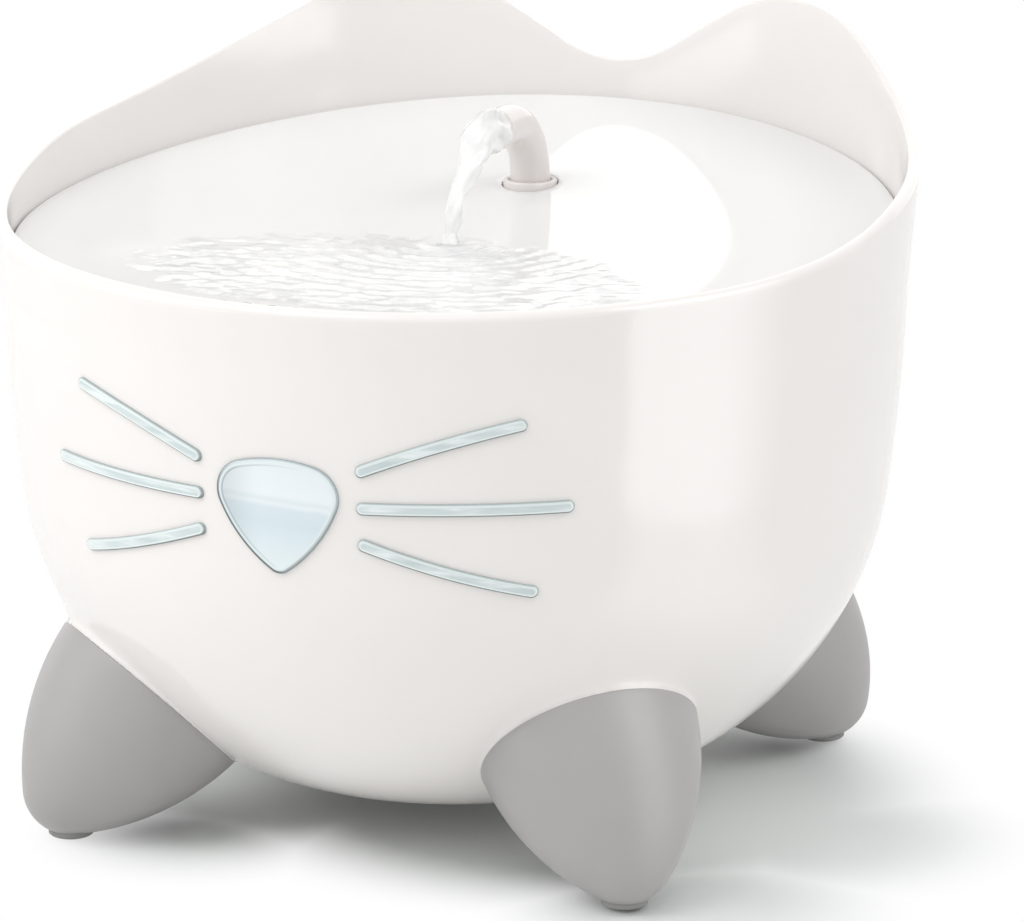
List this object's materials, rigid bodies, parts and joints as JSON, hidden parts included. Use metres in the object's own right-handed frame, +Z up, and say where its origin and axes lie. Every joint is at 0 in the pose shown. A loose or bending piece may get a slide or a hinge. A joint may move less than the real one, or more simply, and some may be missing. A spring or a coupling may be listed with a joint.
{
  "type": "pet water fountain",
  "caption": "Round pet water fountain with an eared tank on cone feet, a lift-off dished drinking tray, a turning spout, a submersible pump and a filter.",
  "frame": {"origin": "on the floor, on the upright axis of the round body, which is the middle of the base", "axes": "+Z up; -Y is the front with the nose window; +X is the fountain's side to the right in a front view"},
  "size_m": [0.2314, 0.2315, 0.1914],
  "materials": {
    "shell_white": "gloss",
    "tray_white": "gloss",
    "spout_white": "gloss",
    "clear_blue": "clear",
    "foot_grey": "satin",
    "pad_grey": "matte",
    "screw_steel": "satin",
    "grommet_grey": "matte",
    "pump_black": "satin",
    "potting_black": "satin",
    "core_steel": "satin",
    "coil_copper": "satin",
    "rotor_white": "satin",
    "magnet_black": "matte",
    "shaft_ceramic": "polished",
    "bushing_black": "matte",
    "cup_clear": "satin",
    "riser_clear": "satin",
    "dial_blue": "satin",
    "basket_white": "satin",
    "fleece_white": "soft",
    "carbon_black": "matte"
  },
  "bodies": {
    "tank": {"outer_shell": "shell_white", "nose_window": "clear_blue", "foot_pads": "pad_grey", "foot_screws": "screw_steel", "cable_grommet": "grommet_grey", "pump_body": "pump_black", "pump_potting": "potting_black", "stator_core": "core_steel", "stator_coil": "coil_copper", "pump_cable_gland": "grommet_grey", "pump_cover": "pump_black", "rotor_shaft": "shaft_ceramic", "shaft_bushings": "bushing_black", "suction_cups": "cup_clear", "riser_tube": "riser_clear", "whisker_right_upper": "clear_blue", "whisker_right_middle": "clear_blue", "whisker_right_lower": "clear_blue", "whisker_left_upper": "clear_blue", "whisker_left_middle": "clear_blue", "whisker_left_lower": "clear_blue", "foot_front_left": "foot_grey", "foot_front_right": "foot_grey", "foot_rear_left": "foot_grey", "foot_rear_right": "foot_grey"},
    "tray": {"drinking_tray": "tray_white", "filter_basket": "basket_white", "cartridge_frame": "basket_white", "filter_fleece": "fleece_white", "carbon_bed": "carbon_black"},
    "spout": {"spout": "spout_white", "spout_o_ring": "bushing_black"},
    "rotor": {"impeller": "rotor_white", "rotor_magnet": "magnet_black"},
    "flow_dial": {"flow_dial": "dial_blue"}
  },
  "joints": [
    {"name": "tray_lift", "type": "slide", "parent": "tank", "child": "tray", "axis": [0, 0, 1], "range_m": [0, 0.09]},
    {"name": "spout_swivel", "type": "hinge", "parent": "tray", "child": "spout", "pos_m": [0, 0.051, 0.14], "axis": [0, 0, 1], "range_deg": [-60, 60]},
    {"name": "impeller_spin", "type": "hinge", "parent": "tank", "child": "rotor", "pos_m": [0, 0.05, 0.044], "axis": [0, 1, 0], "continuous": true},
    {"name": "flow_dial_turn", "type": "hinge", "parent": "tank", "child": "flow_dial", "pos_m": [0, 0.066, 0.044], "axis": [0, 1, 0], "range_deg": [0, 30]}
  ]
}
